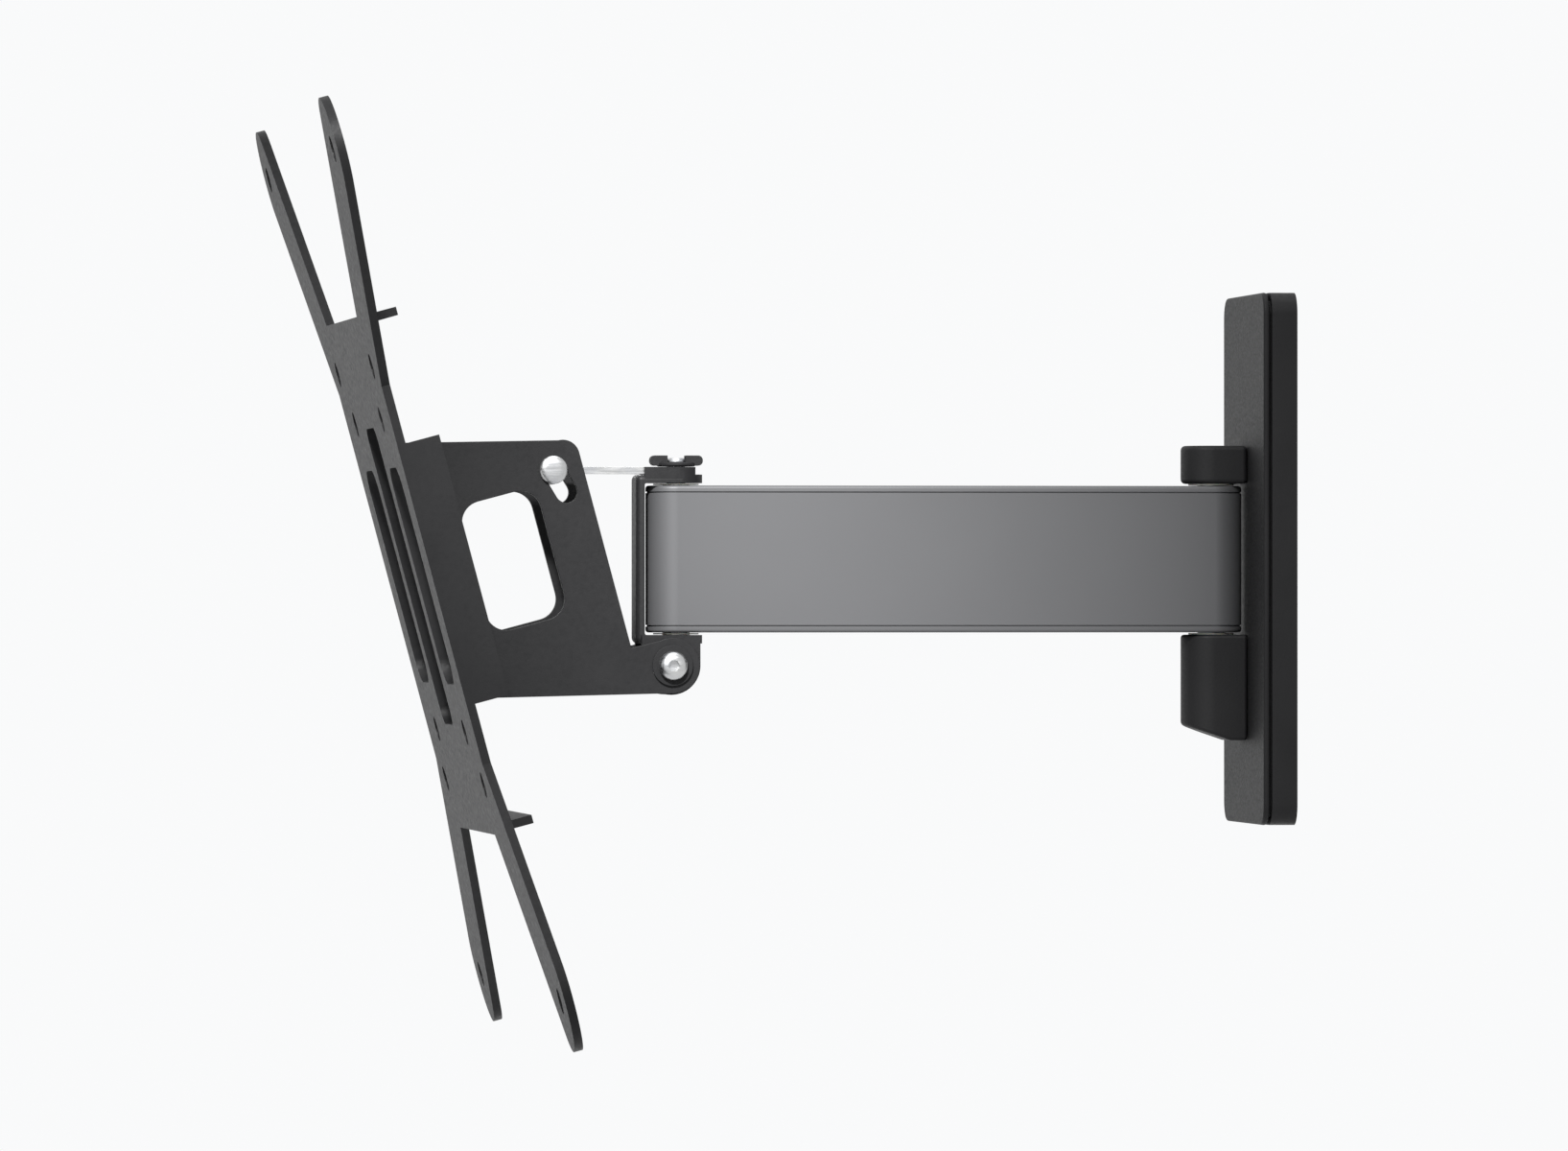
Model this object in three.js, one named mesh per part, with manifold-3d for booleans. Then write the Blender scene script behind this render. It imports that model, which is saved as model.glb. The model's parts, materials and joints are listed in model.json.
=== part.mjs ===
// Full motion wall mount for a television: wall plate, one swinging arm,
// swivelling head and a tilting screen plate.
// Millimetres, +Z up. The wall is the plane Y = 0 and the mount reaches towards -Y.
// The origin is the centre of the wall plate's back face.

import * as THREE from 'three';
import { mergeVertices } from 'three/addons/utils/BufferGeometryUtils.js';
import Module from 'manifold-3d';

const wasm = await Module();
wasm.setup();

// ---- Driving dimensions ----

const GAP = 0.15; // flat faces that rest on each other
const FIT = 0.3; // a pin, rivet or tube in its hole
const SHEET = 2.0; // folded steel of the head, the tilt bracket and the screen plate

const PLATE_WIDTH = 62;
const PLATE_HEIGHT = 125;
const PLATE_DEPTH = 8; // wall to the front of the cover
const PLATE_CORNER = 5;
const TRAY_SHEET = 2;
const TRAY_RIM = 1.6;
const COVER_SKIN = 1.4;
const COVER_SEAM = 0.6; // shadow line between tray and cover
const COVER_SKIRT = 1.2;
const COVER_EDGE = 0.7; // chamfer round the cover's front
const WALL_SLOT_RADIUS = 3;
const WALL_SLOT_TRAVEL = 8; // distance between the centres of a slot's round ends
const WALL_SLOT_EDGE = 11.5; // slot centre to the plate's top or bottom edge
const WALL_SLOT_SPREAD = 15; // upper slots, left and right of the centre

const ARM_CENTRES = 127.5; // wall pivot to head pivot
const ARM_HEIGHT = 34.6;
const ARM_THICKNESS = 14.4;
const ARM_SHEET = 1.5;
const FOLD_CLEARANCE = 0.6; // between the folded arm and the cover
const ARM_TO_EAR = 1.1; // height of the friction washer's space

const PIVOT_RADIUS = 3.25;
const BUSH_WALL = 1.0;
const BUSH_LENGTH = 9;
const TUBE_WALL = 0.7;
const WASHER_RADIUS = 5.4;

const FORK_SHEET = 3;
const FORK_BASE_WIDTH = 28;
const FORK_BASE_TOP = 34;
const FORK_BASE_BOTTOM = -42;
const FORK_RIVET_INSET = 4.2;
const RIVET_RADIUS = 2;
const CAP_WALL = 1.3;
const UPPER_CAP_HEIGHT = 9.0;
const LOWER_CAP_HEIGHT = 25.0;
const LOWER_CAP_SLANT = 4.0; // rise of its underside towards the tip
const BOLT_HEAD_RADIUS = 5.0;
const BOLT_HEAD_HEIGHT = 3.4;
const NUT_HEIGHT = 6;

const HEAD_SPACE = 0.6; // arm to the swivel bracket's ears
const EAR_RADIUS = 6.2;
const WEB_CLEARANCE = 0.8; // arm's round end to the bracket's web
const HEAD_BOLT_CAP = 0.8;
const STUD_RADIUS = 2.5;
const STRAP_SHEET = 1.6;
const STRAP_WIDTH = 8.6;
const STRAP_END = 1.6; // strap beyond its slot
const STRAP_EYE_RADIUS = 3.4;
const STRAP_PIN_RADIUS = 2;
const STRAP_PIN_PLAY = 0.6; // takes up the arc that the straight slide leaves out
const NUT_BASE_HEIGHT = 1.0;
const NUT_WING_HEIGHT = 2.6;
const NUT_WING_REACH = 6.2;

const TILT_REST = THREE.MathUtils.degToRad(15); // top forward, the stored pose
const PIN_ANGLE_UPRIGHT = THREE.MathUtils.degToRad(16.5); // strap pin, from above the tilt axis
const TILT_FORWARD = 2; // tilt axis in front of the head pivot
const TILT_BOLT_RADIUS = 2.5;
const TILT_SPACER_RADIUS = 3.9;
const TILT_HEAD_RADIUS = 3.4;
const TILT_NUT_RADIUS = 4.6;
const TILT_WASHER_RADIUS = 4.8;
const TILT_HEAD_HEIGHT = 2.6;
const LUG_INNER = 6.6; // half the space between the lugs
const LUG_RADIUS = 6.9;
const HUB_RADIUS = 6.5;
const TILT_WASHER = 0.6;

const SCREEN_FORWARD = 53.5; // tilt axis to the plate's front face
const SCREEN_UP = 36; // tilt axis to the plate's centre
const SCREEN_CORE = 124; // side of the plate's square middle
const SCREEN_CORNER = 8;
const SCREEN_ARM_RADIUS = 12;
const SCREEN_LIP = 8;
const SCREEN_RECESS = 3;
const RECESS_HEIGHT = 76;
const VESA_SPANS = [75, 100, 200]; // square hole patterns
const VESA_HOLE_RADIUS = 3.1;
const WEB_HEIGHT = 62;
const PLATE_RIVET_RISE = 22;
const PLATE_RIVET_SPREAD = 4.7;
const PLATE_RIVET_HEAD = 4;
const RIVET_HEAD_HEIGHT = 1.0;

// ---- Places worked out from the driving dimensions ----

const bushOuter = PIVOT_RADIUS + FIT + BUSH_WALL;
const tubeInner = bushOuter + FIT;
const tubeOuter = tubeInner + TUBE_WALL;
const armHalf = ARM_THICKNESS / 2;
const armEndRadius = Math.max(armHalf, tubeOuter + GAP + ARM_SHEET);
const armTop = ARM_HEIGHT / 2;
const wallPivotY = -(PLATE_DEPTH + FOLD_CLEARANCE + armEndRadius);
const headPivotY = wallPivotY - ARM_CENTRES;
const trayDepth = PLATE_DEPTH - COVER_SKIN - COVER_SEAM;

const forkEarLow = armTop + ARM_TO_EAR;
const forkEarHigh = forkEarLow + FORK_SHEET;
const forkEarRadius = armEndRadius - CAP_WALL - FIT;
const forkBack = -(TRAY_SHEET + GAP);
const forkFront = forkBack - FORK_SHEET;

const headEarLow = armTop + HEAD_SPACE;
const headEarHigh = headEarLow + SHEET;
const webBack = headPivotY - armEndRadius - WEB_CLEARANCE;
const webFront = webBack - SHEET;
const strapLow = headEarHigh + GAP;
const strapHigh = strapLow + STRAP_SHEET;
const nutLow = strapHigh + GAP;

const tiltY = headPivotY - TILT_FORWARD;
const tiltZ = -(headEarHigh + GAP + HEAD_BOLT_CAP + FIT + TILT_SPACER_RADIUS);
const strapRise = (strapLow + strapHigh) / 2 - tiltZ;
const pinReachRest = strapRise * Math.tan(PIN_ANGLE_UPRIGHT + TILT_REST);
const pinReachUpright = strapRise * Math.tan(PIN_ANGLE_UPRIGHT);
const strapTravel = pinReachRest - pinReachUpright;
const pinY = tiltY - pinReachRest;
const pinZ = tiltZ + strapRise;

const lugOuter = LUG_INNER + SHEET;
const cheekInner = lugOuter + TILT_WASHER + 2 * GAP;
const cheekOuter = cheekInner + SHEET;
const boltHeadInner = cheekOuter + TILT_WASHER + 2 * GAP;

const plateFront = -SCREEN_FORWARD;
const plateBack = plateFront + SHEET;
const recessBack = plateBack + SCREEN_RECESS;
const webPlateFront = recessBack + GAP;
const webPlateBack = webPlateFront + SHEET;
const cheekRear = webFront - tiltY - FIT; // the cheeks stay in front of the swivel bracket

// ---- Materials ----

const paint = { color: 0x1b1b1c, roughness: 0.55, metalness: 0.3 };
const armPaint = { color: 0x6c6d70, roughness: 0.42, metalness: 0.55 };
const abs = { color: 0x161616, roughness: 0.62, metalness: 0 };
const zinc = { color: 0xb9bcc0, roughness: 0.35, metalness: 0.95 };
const nylon = { color: 0xd8d6cc, roughness: 0.6, metalness: 0 };

// ---- Solids: three.js shapes that manifold-3d joins and cuts ----

function solidOf(geometry) {
  const bare = geometry.index ? geometry.toNonIndexed() : geometry.clone();
  bare.deleteAttribute('normal');
  bare.deleteAttribute('uv');
  const merged = mergeVertices(bare, 1e-4);
  const vertProperties = Float32Array.from(merged.attributes.position.array);
  const triVerts = Uint32Array.from(merged.index.array);
  return new wasm.Manifold(new wasm.Mesh({ numProp: 3, vertProperties, triVerts }));
}

function geometryOf(solid) {
  const mesh = solid.getMesh();
  const geometry = new THREE.BufferGeometry();
  geometry.setAttribute('position', new THREE.BufferAttribute(mesh.vertProperties, 3));
  geometry.setIndex(new THREE.BufferAttribute(mesh.triVerts, 1));
  geometry.computeVertexNormals();
  return geometry;
}

function join(first, ...others) {
  return others.reduce((sum, other) => sum.add(other), first);
}

function cut(body, ...tools) {
  return tools.reduce((rest, tool) => rest.subtract(tool), body);
}

// A box between two corners.
function block(low, high) {
  const size = high.map((value, i) => value - low[i]);
  const geometry = new THREE.BoxGeometry(...size);
  geometry.translate(...high.map((value, i) => (value + low[i]) / 2));
  return solidOf(geometry);
}

// A round rod along one axis, between two values on that axis. The centre gives
// the other two coordinates in X, Y, Z order.
function rod(axis, radius, from, to, centre, sides = 24) {
  const geometry = new THREE.CylinderGeometry(radius, radius, to - from, sides);
  const middle = (from + to) / 2;
  if (axis === 'z') {
    geometry.rotateX(Math.PI / 2);
    geometry.translate(centre[0], centre[1], middle);
  } else if (axis === 'x') {
    geometry.rotateZ(-Math.PI / 2);
    geometry.translate(middle, centre[0], centre[1]);
  } else {
    geometry.translate(centre[0], middle, centre[1]);
  }
  return solidOf(geometry);
}

// A flat outline made solid between two values on an axis. Along 'z' the outline
// is drawn in X, Y; along 'x' in Y, Z; along 'y' in X, Z.
function slab(axis, shape, from, to, bevel = 0) {
  const geometry = new THREE.ExtrudeGeometry(shape, {
    depth: to - from - 2 * bevel,
    curveSegments: 6,
    bevelEnabled: bevel > 0,
    bevelSize: bevel,
    bevelThickness: bevel,
    bevelOffset: -bevel,
    bevelSegments: 1,
  });
  geometry.translate(0, 0, bevel);
  const x = new THREE.Vector3(1, 0, 0);
  const y = new THREE.Vector3(0, 1, 0);
  const z = new THREE.Vector3(0, 0, 1);
  if (axis === 'x') {
    geometry.applyMatrix4(new THREE.Matrix4().makeBasis(y, z, x));
    geometry.translate(from, 0, 0);
  } else if (axis === 'y') {
    geometry.applyMatrix4(new THREE.Matrix4().makeBasis(x, z, y.clone().negate()));
    geometry.translate(0, to, 0);
  } else {
    geometry.translate(0, 0, from);
  }
  return solidOf(geometry);
}

// ---- Outlines ----

function roundedRect(low, high, radius) {
  const [x0, y0] = low;
  const [x1, y1] = high;
  const shape = new THREE.Shape();
  shape.moveTo(x0 + radius, y0);
  shape.lineTo(x1 - radius, y0);
  shape.absarc(x1 - radius, y0 + radius, radius, -Math.PI / 2, 0);
  shape.lineTo(x1, y1 - radius);
  shape.absarc(x1 - radius, y1 - radius, radius, 0, Math.PI / 2);
  shape.lineTo(x0 + radius, y1);
  shape.absarc(x0 + radius, y1 - radius, radius, Math.PI / 2, Math.PI);
  shape.lineTo(x0, y0 + radius);
  shape.absarc(x0 + radius, y0 + radius, radius, Math.PI, 1.5 * Math.PI);
  return shape;
}

// A round-ended slot between two points.
function capsule(start, end, radius) {
  const angle = Math.atan2(end[1] - start[1], end[0] - start[0]);
  const shape = new THREE.Shape();
  shape.absarc(start[0], start[1], radius, angle + Math.PI / 2, angle + 1.5 * Math.PI);
  shape.absarc(end[0], end[1], radius, angle - Math.PI / 2, angle + Math.PI / 2);
  return shape;
}

// An ear seen from above: a straight tongue from rootY with a round end at pivotY.
function earOutline(pivotY, rootY, radius) {
  const towardsTip = Math.sign(pivotY - rootY);
  const shape = new THREE.Shape();
  shape.moveTo(radius * towardsTip, rootY);
  shape.lineTo(radius * towardsTip, pivotY);
  const start = towardsTip > 0 ? 0 : Math.PI;
  shape.absarc(0, pivotY, radius, start, start + Math.PI);
  shape.lineTo(-radius * towardsTip, rootY);
  return shape;
}

// The arm seen from above, with round ends on the two pivots.
// The ends swell where the pivots need more width than the arm has between them.
function armOutline(inset) {
  const end = armEndRadius - inset;
  const swell = Math.acos((armHalf - inset) / end);
  const shape = new THREE.Shape();
  shape.absarc(0, wallPivotY, end, -swell, Math.PI + swell, false);
  shape.absarc(0, headPivotY, end, Math.PI - swell, 2 * Math.PI + swell, false);
  return shape;
}

// ---- Wall side ----

function wallSlots() {
  const half = WALL_SLOT_TRAVEL / 2;
  const upperZ = PLATE_HEIGHT / 2 - WALL_SLOT_EDGE;
  const centres = [[-WALL_SLOT_SPREAD, upperZ], [WALL_SLOT_SPREAD, upperZ], [0, -upperZ]];
  return centres.map(([x, z]) => {
    const outline = capsule([x - half, z], [x + half, z], WALL_SLOT_RADIUS);
    return slab('y', outline, -TRAY_SHEET - 1, 1);
  });
}

function plateOutline(inset) {
  const x = PLATE_WIDTH / 2 - inset;
  const z = PLATE_HEIGHT / 2 - inset;
  return roundedRect([-x, -z], [x, z], Math.max(PLATE_CORNER - inset, 1));
}

const forkRivets = [];
for (const x of [-1, 1]) {
  for (const z of [FORK_BASE_TOP - FORK_RIVET_INSET, FORK_BASE_BOTTOM + FORK_RIVET_INSET]) {
    forkRivets.push([x * (FORK_BASE_WIDTH / 2 - FORK_RIVET_INSET), z]);
  }
}

function wallPlate() {
  const tray = slab('y', plateOutline(0), -trayDepth, 0);
  const pocket = slab('y', plateOutline(TRAY_RIM), -trayDepth - 1, -TRAY_SHEET);
  const holes = forkRivets.map((xz) => rod('y', RIVET_RADIUS + FIT, -TRAY_SHEET - 1, 1, xz, 16));
  return cut(tray, pocket, ...wallSlots(), ...holes);
}

// The tongue window for one ear of the fork, a fit wider than the ear.
function earWindow(side) {
  const x = forkEarRadius + FIT;
  const low = Math.min(side * (forkEarLow - FIT), side * (forkEarHigh + FIT));
  const high = Math.max(side * (forkEarLow - FIT), side * (forkEarHigh + FIT));
  return block([-x, -PLATE_DEPTH - 1, low], [x, 0, high]);
}

function wallCover() {
  const back = -(trayDepth + COVER_SEAM);
  const chamfered = slab('y', plateOutline(0), -PLATE_DEPTH, back + COVER_EDGE, COVER_EDGE);
  const front = cut(chamfered, block([-PLATE_WIDTH, back, -PLATE_HEIGHT], [PLATE_WIDTH, 1, PLATE_HEIGHT]));
  const skirtInset = TRAY_RIM + FIT;
  const skirt = cut(
    slab('y', plateOutline(skirtInset), back - COVER_SKIN / 2, -(TRAY_SHEET + GAP)),
    slab('y', plateOutline(skirtInset + COVER_SKIRT), back, 1),
  );
  return cut(join(front, skirt), earWindow(1), earWindow(-1));
}

function wallFork() {
  const half = FORK_BASE_WIDTH / 2;
  const outline = roundedRect([-half, FORK_BASE_BOTTOM], [half, FORK_BASE_TOP], 3);
  const base = slab('y', outline, forkFront, forkBack);
  const ear = earOutline(wallPivotY, forkBack - GAP, forkEarRadius);
  const upper = slab('z', ear, forkEarLow, forkEarHigh);
  const lower = slab('z', ear, -forkEarHigh, -forkEarLow);
  const bore = rod('z', PIVOT_RADIUS + FIT, -forkEarHigh - 1, forkEarHigh + 1, [0, wallPivotY]);
  const holes = forkRivets.map((xz) => rod('y', RIVET_RADIUS + FIT, forkFront - 1, 0, xz, 16));
  return cut(join(base, upper, lower), bore, ...holes);
}

function forkRivet([x, z]) {
  const head = forkFront - GAP;
  const shank = rod('y', RIVET_RADIUS, head - RIVET_HEAD_HEIGHT / 2, -GAP, [x, z], 16);
  return join(shank, rod('y', RIVET_RADIUS * 1.7, head - RIVET_HEAD_HEIGHT, head, [x, z], 16));
}

function wallPivotBolt() {
  const seat = forkEarHigh + GAP;
  const end = -(seat + NUT_HEIGHT + 4);
  const shaft = rod('z', PIVOT_RADIUS, end, seat + BOLT_HEAD_HEIGHT / 2, [0, wallPivotY]);
  const head = rod('z', BOLT_HEAD_RADIUS, seat, seat + BOLT_HEAD_HEIGHT, [0, wallPivotY], 6);
  return join(shaft, head);
}

function washer(axis, inner, outer, from, to, centre) {
  return cut(rod(axis, outer, from, to, centre), rod(axis, inner, from - 1, to + 1, centre));
}

const springHeight = 1.2;
const springTop = -(forkEarHigh + GAP);
const wallNutTop = springTop - springHeight - GAP;

function discSpring() {
  const inner = PIVOT_RADIUS + FIT;
  const thickness = springHeight / 2;
  const points = [
    new THREE.Vector2(inner, springTop - springHeight + thickness),
    new THREE.Vector2(inner, springTop - springHeight),
    new THREE.Vector2(BOLT_HEAD_RADIUS, springTop - thickness),
    new THREE.Vector2(BOLT_HEAD_RADIUS, springTop),
    new THREE.Vector2(inner, springTop - springHeight + thickness),
  ];
  const geometry = new THREE.LatheGeometry(points, 24);
  geometry.rotateX(Math.PI / 2);
  geometry.translate(0, wallPivotY, 0);
  return solidOf(geometry);
}

function wallPivotNut() {
  const bottom = wallNutTop - NUT_HEIGHT;
  const hex = rod('z', BOLT_HEAD_RADIUS + 0.3, bottom + 2, wallNutTop, [0, wallPivotY], 6);
  const collar = rod('z', BOLT_HEAD_RADIUS - 0.6, bottom, bottom + 3, [0, wallPivotY]);
  return cut(join(hex, collar), rod('z', PIVOT_RADIUS + FIT, bottom - 1, 0, [0, wallPivotY]));
}

const capStart = armTop + ARM_TO_EAR / 2;
const capRoot = -(PLATE_DEPTH + GAP);

function upperHingeCap() {
  const top = capStart + UPPER_CAP_HEIGHT;
  const outer = slab('z', earOutline(wallPivotY, capRoot, armEndRadius), capStart - 1, top, 0.9);
  const skirt = block([-armEndRadius - 1, -60, 0], [armEndRadius + 1, 0, capStart]);
  const inner = earOutline(wallPivotY, 0, armEndRadius - CAP_WALL);
  return cut(outer, skirt, slab('z', inner, 0, top - CAP_WALL));
}

// The lower cap's underside, seen from the side, rises towards the tip.
function slantOutline(drop) {
  const bottom = -(capStart + LOWER_CAP_HEIGHT) + drop;
  const tip = wallPivotY - armEndRadius;
  const shape = new THREE.Shape();
  shape.moveTo(0, -capStart);
  shape.lineTo(0, bottom);
  shape.lineTo(wallPivotY + armEndRadius / 2, bottom);
  shape.lineTo(tip - 1, bottom + LOWER_CAP_SLANT);
  shape.lineTo(tip - 1, -capStart);
  return shape;
}

function lowerHingeCap() {
  const bottom = -(capStart + LOWER_CAP_HEIGHT);
  const outer = slab('z', earOutline(wallPivotY, capRoot, armEndRadius), bottom - 1, -capStart);
  const body = outer.intersect(slab('x', slantOutline(0), -armEndRadius - 1, armEndRadius + 1));
  const inner = slab('z', earOutline(wallPivotY, 0, armEndRadius - CAP_WALL), bottom, 0);
  const hollow = inner.intersect(slab('x', slantOutline(CAP_WALL), -armEndRadius, armEndRadius));
  return cut(body, hollow);
}

// ---- Arm ----

const tubeTop = armTop - ARM_SHEET - GAP;
const tubeBottom = -armTop + GAP;

function armBeam() {
  const outer = slab('z', armOutline(0), -armTop, armTop, 0.6);
  const inner = slab('z', armOutline(ARM_SHEET), -armTop - 1, armTop - ARM_SHEET);
  const bores = [wallPivotY, headPivotY].map((y) =>
    rod('z', PIVOT_RADIUS + FIT, 0, armTop + 1, [0, y]));
  return cut(outer, inner, ...bores);
}

function cableCover() {
  const x = armHalf - ARM_SHEET - GAP;
  const start = headPivotY + tubeOuter + FIT;
  const end = wallPivotY - tubeOuter - FIT;
  const lid = slab('z', roundedRect([-x, start], [x, end], 0.8), tubeBottom, tubeBottom + ARM_SHEET);
  const wall = ARM_SHEET / 2;
  const ribs = [-x, x - wall].map((low) =>
    block([low, start + 4, tubeBottom], [low + wall, end - 4, tubeBottom + 5]));
  return join(lid, ...ribs);
}

function pivotTube(y) {
  return washer('z', tubeInner, tubeOuter, tubeBottom, tubeTop, [0, y]);
}

function bush(y, side) {
  const end = side > 0 ? tubeTop : tubeBottom;
  const other = end - side * BUSH_LENGTH;
  const [low, high] = [Math.min(end, other), Math.max(end, other)];
  return washer('z', PIVOT_RADIUS + FIT, bushOuter, low, high, [0, y]);
}

function frictionWasher(y, side, space) {
  const low = armTop + GAP;
  const high = armTop + space - GAP;
  const [from, to] = side > 0 ? [low, high] : [-high, -low];
  return washer('z', PIVOT_RADIUS + FIT, WASHER_RADIUS, from, to, [0, y]);
}

// ---- Swivel head ----

const lowerEarTop = -headEarLow;
const tiltAxis = [tiltY, tiltZ];

function lugOutline() {
  const shape = new THREE.Shape();
  shape.moveTo(tiltY - LUG_RADIUS, lowerEarTop);
  shape.lineTo(tiltY - LUG_RADIUS, tiltZ);
  shape.absarc(tiltY, tiltZ, LUG_RADIUS, Math.PI, 2 * Math.PI);
  shape.lineTo(tiltY + LUG_RADIUS, lowerEarTop);
  return shape;
}

function swivelBracket() {
  const ear = earOutline(headPivotY, webFront, EAR_RADIUS);
  const upper = slab('z', ear, headEarLow, headEarHigh);
  const lower = slab('z', ear, -headEarHigh, lowerEarTop);
  const web = block([-EAR_RADIUS, webFront, -headEarHigh], [EAR_RADIUS, webBack, headEarHigh]);
  const guideInner = STRAP_WIDTH / 2 + FIT;
  const guides = cut(
    slab('z', earOutline(headPivotY, webBack, EAR_RADIUS), headEarLow + SHEET / 2, strapHigh),
    block([-guideInner, webFront, headEarHigh], [guideInner, 0, strapHigh + 1]),
  );
  const shelf = block(
    [-lugOuter, tiltY - LUG_RADIUS, -headEarHigh],
    [lugOuter, tiltY + LUG_RADIUS, lowerEarTop],
  );
  const lugs = [-lugOuter, LUG_INNER].map((x) => slab('x', lugOutline(), x, x + SHEET));
  return cut(
    join(upper, guides, lower, web, shelf, ...lugs),
    rod('z', STUD_RADIUS + FIT, 0, strapHigh + 1, [0, headPivotY]),
    rod('z', PIVOT_RADIUS + FIT, -headEarHigh - 1, 0, [0, headPivotY]),
    rod('x', TILT_BOLT_RADIUS + FIT, -lugOuter - 1, lugOuter + 1, tiltAxis),
  );
}

function headPivotBolt() {
  const seat = -(headEarHigh + GAP);
  const centre = [0, headPivotY];
  return join(
    rod('z', BOLT_HEAD_RADIUS, seat - HEAD_BOLT_CAP, seat, centre),
    rod('z', PIVOT_RADIUS, seat - HEAD_BOLT_CAP / 2, headEarLow - GAP, centre),
    rod('z', STUD_RADIUS, 0, nutLow + NUT_WING_HEIGHT - 0.6, centre),
  );
}

function thumbNut() {
  const centre = [0, headPivotY];
  const base = rod('z', NUT_WING_REACH * 0.75, nutLow, nutLow + NUT_BASE_HEIGHT, centre);
  const wings = [-1, 1].map((side) => {
    const inner = headPivotY + side;
    const outer = headPivotY + side * NUT_WING_REACH;
    const low = [Math.min(inner, outer), nutLow + 0.2];
    const high = [Math.max(inner, outer), nutLow + NUT_WING_HEIGHT];
    return slab('x', roundedRect(low, high, 1.2), -1.8, 1.8);
  });
  const bore = rod('z', STUD_RADIUS + FIT, nutLow - 1, nutLow + NUT_WING_HEIGHT + 1, centre);
  return cut(join(base, ...wings), bore);
}

function tiltBolt() {
  const points = [[0, 0], [TILT_HEAD_RADIUS, 0], [TILT_HEAD_RADIUS, 0.3 * TILT_HEAD_HEIGHT],
    [0.78 * TILT_HEAD_RADIUS, 0.75 * TILT_HEAD_HEIGHT], [0.5 * TILT_HEAD_RADIUS, TILT_HEAD_HEIGHT],
    [0, TILT_HEAD_HEIGHT]].map(([x, y]) => new THREE.Vector2(x, y));
  const geometry = new THREE.LatheGeometry(points, 24);
  geometry.rotateZ(-Math.PI / 2);
  geometry.translate(boltHeadInner, ...tiltAxis);
  const shank = rod('x', TILT_BOLT_RADIUS, -(boltHeadInner + 5.5), boltHeadInner + 0.5, tiltAxis);
  const socketFloor = boltHeadInner + TILT_HEAD_HEIGHT / 2;
  const socket = rod('x', 0.42 * TILT_HEAD_RADIUS, socketFloor, socketFloor + TILT_HEAD_HEIGHT, tiltAxis, 6);
  return cut(join(solidOf(geometry), shank), socket);
}

function tiltNut() {
  const hex = rod('x', TILT_NUT_RADIUS, -(boltHeadInner + 4), -boltHeadInner, tiltAxis, 6);
  return cut(hex, rod('x', TILT_BOLT_RADIUS + FIT, -(boltHeadInner + 5), 0, tiltAxis));
}

function tiltWasher(side, start) {
  const [from, to] = side > 0 ? [start, start + TILT_WASHER] : [-start - TILT_WASHER, -start];
  return washer('x', TILT_BOLT_RADIUS + FIT, TILT_WASHER_RADIUS, from, to, tiltAxis);
}

function tiltSpacer() {
  const half = LUG_INNER - GAP;
  return washer('x', TILT_BOLT_RADIUS + FIT, TILT_SPACER_RADIUS, -half, half, tiltAxis);
}

// ---- Strap that follows the tilt and is clamped by the thumb nut ----

function tiltStrap() {
  const slotRadius = STUD_RADIUS + FIT;
  const half = STRAP_WIDTH / 2;
  const rear = headPivotY + slotRadius + STRAP_END;
  const bar = slab('z', roundedRect([-half, pinY], [half, rear], 2.5), strapLow, strapHigh);
  const eye = rod('x', STRAP_EYE_RADIUS, -half, half, [pinY, pinZ]);
  const slot = capsule([0, headPivotY - strapTravel], [0, headPivotY], slotRadius);
  return cut(
    join(bar, eye),
    slab('z', slot, strapLow - 1, strapHigh + 1),
    rod('x', STRAP_PIN_RADIUS + FIT, -half - 1, half + 1, [pinY, pinZ]),
  );
}

function strapPin() {
  const head = cheekOuter + GAP;
  const pin = rod('x', STRAP_PIN_RADIUS, -(head + 1.8), head + 0.5, [pinY, pinZ]);
  return join(pin, rod('x', 1.65 * STRAP_PIN_RADIUS, head, head + 1.3, [pinY, pinZ]));
}

function strapClip() {
  const face = -(cheekOuter + GAP);
  const ring = washer('x', STRAP_PIN_RADIUS + GAP, 1.8 * STRAP_PIN_RADIUS, face - 0.8, face, [pinY, pinZ]);
  const mouth = block([face - 2, pinY - 1.2, pinZ - 6], [face + 1, pinY + 1.2, pinZ]);
  return cut(ring, mouth);
}

// ---- Tilting part, drawn upright with the tilt axis at the origin ----

const webLow = SCREEN_UP - WEB_HEIGHT / 2;
const webHigh = SCREEN_UP + WEB_HEIGHT / 2;

// The strap pin's place when it is a given angle from above the tilt axis.
function pinPlace(angle) {
  const reach = strapRise / Math.cos(angle);
  const direction = PIN_ANGLE_UPRIGHT;
  return [-reach * Math.sin(direction), reach * Math.cos(direction)];
}

function cheekOutline() {
  const top = pinPlace(PIN_ANGLE_UPRIGHT + TILT_REST)[1] + 6;
  const distance = Math.hypot(webPlateFront, webLow);
  const slope = Math.atan2(-webLow, -webPlateFront) - Math.asin(HUB_RADIUS / distance);
  const hubStart = slope - Math.PI / 2;
  const shape = new THREE.Shape();
  shape.moveTo(webPlateFront, webLow);
  shape.lineTo(HUB_RADIUS * Math.cos(hubStart), HUB_RADIUS * Math.sin(hubStart));
  shape.absarc(0, 0, HUB_RADIUS, hubStart, 0.56 * Math.PI);
  shape.lineTo(cheekRear, HUB_RADIUS);
  shape.lineTo(cheekRear, top - 3);
  shape.quadraticCurveTo(cheekRear, top, cheekRear - 4, top + 0.5);
  shape.lineTo(webPlateFront, webHigh);
  return shape;
}

const plateRivets = [];
for (const x of [-1, 1]) {
  for (const z of [-1, 1]) {
    plateRivets.push([x * PLATE_RIVET_SPREAD, SCREEN_UP + z * PLATE_RIVET_RISE]);
  }
}

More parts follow.
